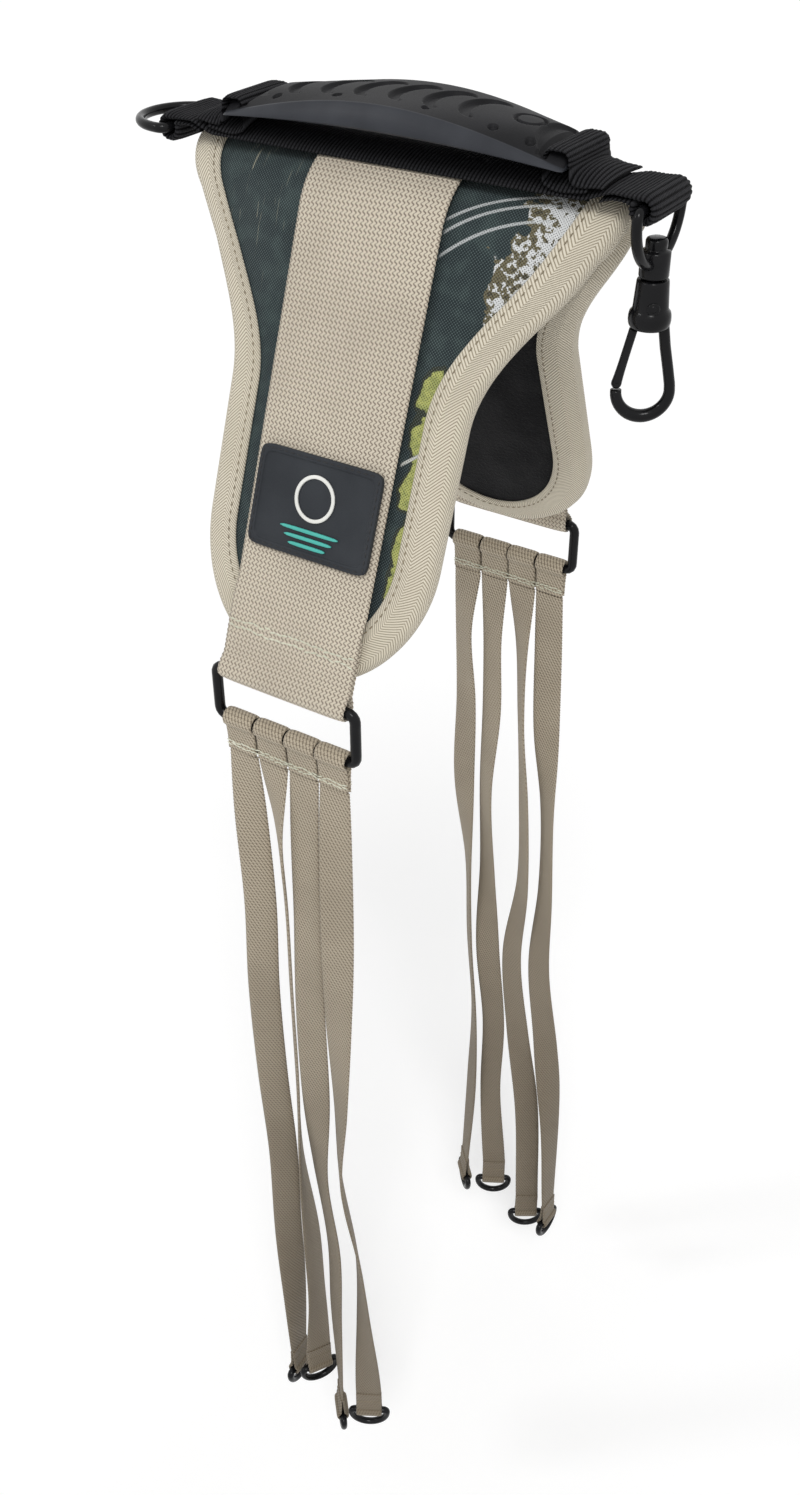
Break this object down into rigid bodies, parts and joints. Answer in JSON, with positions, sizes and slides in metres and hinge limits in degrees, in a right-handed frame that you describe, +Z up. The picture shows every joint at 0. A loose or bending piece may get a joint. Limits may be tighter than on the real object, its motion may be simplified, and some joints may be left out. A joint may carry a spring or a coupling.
{
  "type": "game carrier strap",
  "caption": "Padded saddle strap with a moulded carrying grip, side rings, a swivel snap hook and hanging tie strands front and back.",
  "frame": {"origin": "middle of the moulded grip, where a hand holds it", "axes": "+X along the grip towards the snap hook, +Y to the back panel, +Z up"},
  "size_m": [0.1936, 0.1764, 0.6164],
  "materials": {
    "grip_rubber": "moulded satin",
    "black_webbing": "ribbed weave",
    "print_fabric": "woven print",
    "foam": "closed cell foam",
    "fleece": "brushed",
    "binding_tape": "herringbone twill",
    "tan_webbing": "woven nylon",
    "label_rubber": "moulded matt",
    "label_pale": "matt",
    "label_green": "matt",
    "black_metal": "semi-gloss black",
    "strand_webbing": "woven nylon"
  },
  "bodies": {
    "saddle": {"grip_handle": "grip_rubber", "handle_loops": "black_webbing", "cross_strap": "black_webbing", "outer_cover": "print_fabric", "foam_core": "foam", "inner_lining": "fleece", "edge_binding": "binding_tape", "main_webbing": "tan_webbing", "label_patch": "label_rubber", "label_ring": "label_pale", "label_bars": "label_green"},
    "left_ring": {"left_d_ring": "black_metal"},
    "right_ring": {"right_d_ring": "black_metal"},
    "eye": {"swivel_eye": "black_metal"},
    "hook": {"hook_body": "black_metal", "hook_rivet": "black_metal", "gate_pin": "black_metal"},
    "gate": {"hook_gate": "black_metal"},
    "front_link": {"front_ring": "black_metal"},
    "front_head": {"front_header": "strand_webbing"},
    "front_line_1": {"front_strand_1": "strand_webbing", "front_tab_1": "strand_webbing"},
    "front_loop_1": {"front_end_ring_1": "black_metal"},
    "front_line_2": {"front_strand_2": "strand_webbing", "front_tab_2": "strand_webbing"},
    "front_loop_2": {"front_end_ring_2": "black_metal"},
    "front_line_3": {"front_strand_3": "strand_webbing", "front_tab_3": "strand_webbing"},
    "front_loop_3": {"front_end_ring_3": "black_metal"},
    "front_line_4": {"front_strand_4": "strand_webbing", "front_tab_4": "strand_webbing"},
    "front_loop_4": {"front_end_ring_4": "black_metal"},
    "back_link": {"back_ring": "black_metal"},
    "back_head": {"back_header": "strand_webbing"},
    "back_line_1": {"back_strand_1": "strand_webbing", "back_tab_1": "strand_webbing"},
    "back_loop_1": {"back_end_ring_1": "black_metal"},
    "back_line_2": {"back_strand_2": "strand_webbing", "back_tab_2": "strand_webbing"},
    "back_loop_2": {"back_end_ring_2": "black_metal"},
    "back_line_3": {"back_strand_3": "strand_webbing", "back_tab_3": "strand_webbing"},
    "back_loop_3": {"back_end_ring_3": "black_metal"},
    "back_line_4": {"back_strand_4": "strand_webbing", "back_tab_4": "strand_webbing"},
    "back_loop_4": {"back_end_ring_4": "black_metal"}
  },
  "joints": [
    {"name": "left_ring_swing", "type": "hinge", "parent": "saddle", "child": "left_ring", "pos_m": [-0.083, 0, -0.015], "axis": [0, 1, 0], "range_deg": [-105, 20]},
    {"name": "right_ring_swing", "type": "hinge", "parent": "saddle", "child": "right_ring", "pos_m": [0.083, 0, -0.015], "axis": [0, 1, 0], "range_deg": [-110, 12]},
    {"name": "hook_swing", "type": "hinge", "parent": "right_ring", "child": "eye", "pos_m": [0.083, 0, -0.0326], "axis": [0, 1, 0], "range_deg": [-50, 20]},
    {"name": "hook_swivel", "type": "hinge", "parent": "eye", "child": "hook", "pos_m": [0.083, 0, -0.0365], "axis": [0, 0, 1], "continuous": true},
    {"name": "gate_open", "type": "hinge", "parent": "hook", "child": "gate", "pos_m": [0.07629, -0.00436, -0.0682], "axis": [-0.5446, 0.8387, 0], "range_deg": [0, 24], "stiffness_Nm_per_rad": 0.02, "springref_deg": -17.19},
    {"name": "front_link_swing", "type": "hinge", "parent": "saddle", "child": "front_link", "pos_m": [0, -0.07521, -0.16551], "axis": [1, 0, 0], "range_deg": [-50, 5]},
    {"name": "front_head_swing", "type": "hinge", "parent": "front_link", "child": "front_head", "pos_m": [0, -0.07521, -0.18501], "axis": [1, 0, 0], "range_deg": [-40, 5]},
    {"name": "front_line_1_swing", "type": "hinge", "parent": "front_head", "child": "front_line_1", "pos_m": [0, -0.07521, -0.19891], "axis": [1, 0, 0], "range_deg": [-60, 9]},
    {"name": "front_loop_1_swing", "type": "hinge", "parent": "front_line_1", "child": "front_loop_1", "pos_m": [-0.016, -0.07421, -0.56991], "axis": [-0.0349, 0.9994, 0], "range_deg": [-12, 50]},
    {"name": "front_line_2_swing", "type": "hinge", "parent": "front_head", "child": "front_line_2", "pos_m": [0, -0.07521, -0.19891], "axis": [1, 0, 0], "range_deg": [-60, 9]},
    {"name": "front_loop_2_swing", "type": "hinge", "parent": "front_line_2", "child": "front_loop_2", "pos_m": [-0.004, -0.07421, -0.56191], "axis": [-0.5299, -0.848, 0], "range_deg": [-40, 5]},
    {"name": "front_line_3_swing", "type": "hinge", "parent": "front_head", "child": "front_line_3", "pos_m": [0, -0.07521, -0.19891], "axis": [1, 0, 0], "range_deg": [-60, 9]},
    {"name": "front_loop_3_swing", "type": "hinge", "parent": "front_line_3", "child": "front_loop_3", "pos_m": [0.009, -0.07521, -0.58591], "axis": [0.6691, -0.7431, 0], "range_deg": [-40, 10]},
    {"name": "front_line_4_swing", "type": "hinge", "parent": "front_head", "child": "front_line_4", "pos_m": [0, -0.07521, -0.19891], "axis": [1, 0, 0], "range_deg": [-60, 9]},
    {"name": "front_loop_4_swing", "type": "hinge", "parent": "front_line_4", "child": "front_loop_4", "pos_m": [0.024, -0.07321, -0.57791], "axis": [0.866, 0.5, 0], "range_deg": [-45, 5]},
    {"name": "back_link_swing", "type": "hinge", "parent": "saddle", "child": "back_link", "pos_m": [0, 0.07521, -0.16551], "axis": [1, 0, 0], "range_deg": [-5, 50]},
    {"name": "back_head_swing", "type": "hinge", "parent": "back_link", "child": "back_head", "pos_m": [0, 0.07521, -0.18501], "axis": [1, 0, 0], "range_deg": [-5, 40]},
    {"name": "back_line_1_swing", "type": "hinge", "parent": "back_head", "child": "back_line_1", "pos_m": [0, 0.07521, -0.19891], "axis": [1, 0, 0], "range_deg": [-9, 60]},
    {"name": "back_loop_1_swing", "type": "hinge", "parent": "back_line_1", "child": "back_loop_1", "pos_m": [-0.0145, 0.08121, -0.58991], "axis": [0.6947, -0.7193, 0], "range_deg": [-45, 5]},
    {"name": "back_line_2_swing", "type": "hinge", "parent": "back_head", "child": "back_line_2", "pos_m": [0, 0.07521, -0.19891], "axis": [1, 0, 0], "range_deg": [-9, 60]},
    {"name": "back_loop_2_swing", "type": "hinge", "parent": "back_line_2", "child": "back_loop_2", "pos_m": [0.004, 0.08121, -0.58391], "axis": [0.866, 0.5, 0], "range_deg": [-30, 5]},
    {"name": "back_line_3_swing", "type": "hinge", "parent": "back_head", "child": "back_line_3", "pos_m": [0, 0.07521, -0.19891], "axis": [1, 0, 0], "range_deg": [-9, 60]},
    {"name": "back_loop_3_swing", "type": "hinge", "parent": "back_line_3", "child": "back_loop_3", "pos_m": [0.025, 0.08221, -0.59991], "axis": [0.8387, 0.5446, 0], "range_deg": [-5, 40]},
    {"name": "back_line_4_swing", "type": "hinge", "parent": "back_head", "child": "back_line_4", "pos_m": [0, 0.07521, -0.19891], "axis": [1, 0, 0], "range_deg": [-9, 60]},
    {"name": "back_loop_4_swing", "type": "hinge", "parent": "back_line_4", "child": "back_loop_4", "pos_m": [0.038, 0.08221, -0.59591], "axis": [0.0349, 0.9994, 0], "range_deg": [-50, 5]}
  ]
}
